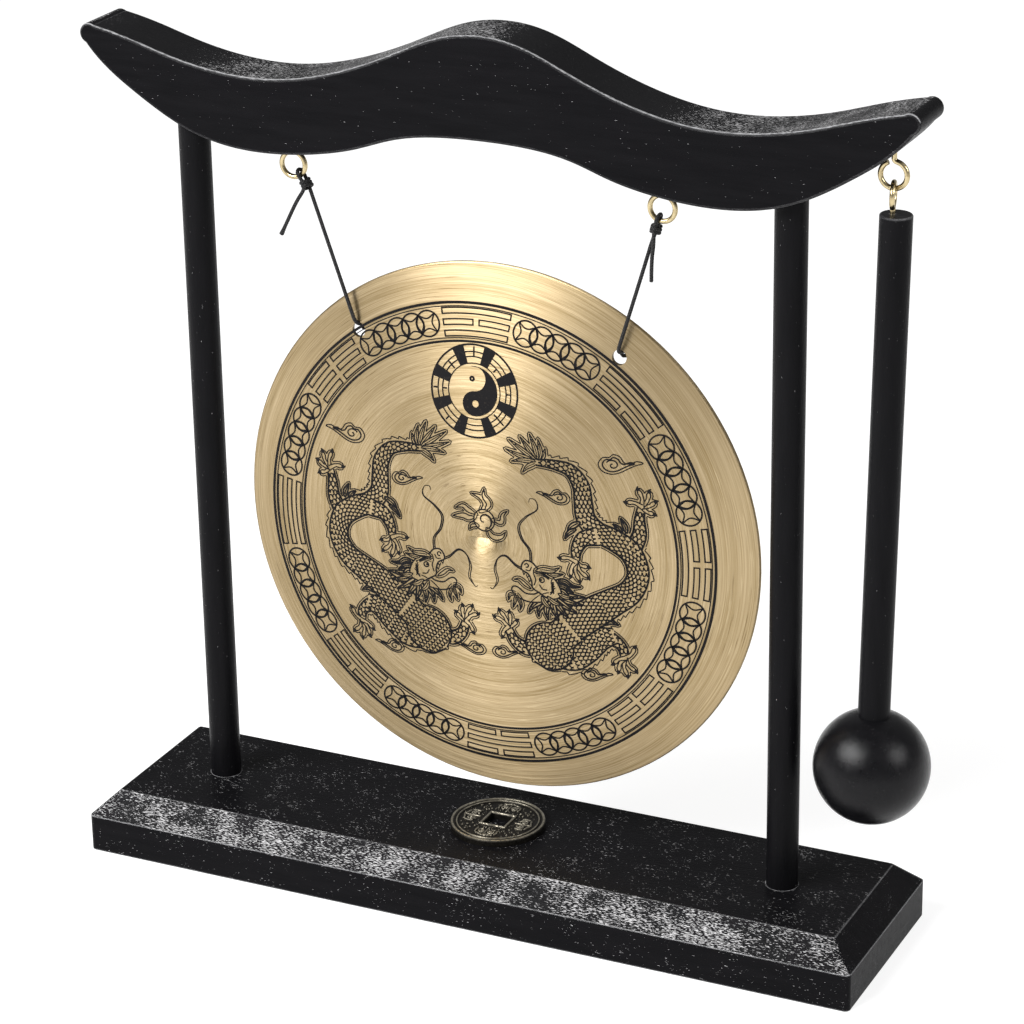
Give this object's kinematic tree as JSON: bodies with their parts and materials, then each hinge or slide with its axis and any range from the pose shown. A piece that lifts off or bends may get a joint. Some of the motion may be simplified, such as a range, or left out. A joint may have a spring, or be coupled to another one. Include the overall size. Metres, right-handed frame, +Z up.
{
  "type": "tam tam gong",
  "caption": "Desk-top brass gong hung on two tied cords in a black wooden frame with a roof-shaped beam, a coin medallion on the board and a hanging ball mallet.",
  "frame": {"origin": "middle of the base board's underside", "axes": "+Z up, +X along the board towards the mallet, -Y the side the gong's face looks to"},
  "size_m": [0.2385, 0.0586, 0.2433],
  "materials": {
    "lacquered_wood": "semi-gloss black lacquer over open grain",
    "gong_brass": "lathe-brushed, clear lacquered, with black printed ornament",
    "brassed_wire": "bright plated wire",
    "antique_brass": "darkened antique relief, polished high spots",
    "waxed_cord": "black braided waxed cord",
    "screw_steel": "zinc-plated"
  },
  "bodies": {
    "stand": {"base_board": "lacquered_wood", "left_post": "lacquered_wood", "right_post": "lacquered_wood", "base_screws": "screw_steel", "roof_beam": "lacquered_wood", "left_hanger_eye": "brassed_wire", "right_hanger_eye": "brassed_wire", "mallet_hanger_eye": "brassed_wire", "coin_medallion": "antique_brass"},
    "cords": {"left_cord": "waxed_cord", "left_cord_knot": "waxed_cord", "left_stopper_knot": "waxed_cord", "right_cord": "waxed_cord", "right_cord_knot": "waxed_cord", "right_stopper_knot": "waxed_cord"},
    "gong": {"gong_disc": "gong_brass"},
    "mallet": {"mallet_eye": "brassed_wire", "mallet_handle": "lacquered_wood", "mallet_head": "lacquered_wood"}
  },
  "joints": [
    {"name": "gong_swing", "type": "hinge", "parent": "stand", "child": "cords", "pos_m": [0, 0, 0.1982], "axis": [1, 0, 0], "range_deg": [-30, 30]},
    {"name": "gong_tilt", "type": "hinge", "parent": "cords", "child": "gong", "pos_m": [-0.00026, 0.0002, 0.15949], "axis": [0.9994, 0, 0.0349], "range_deg": [-12, 6]},
    {"name": "mallet_swing", "type": "hinge", "parent": "stand", "child": "mallet", "pos_m": [0.1106, 0, 0.21375], "axis": [1, 0, 0], "range_deg": [-60, 60]}
  ]
}
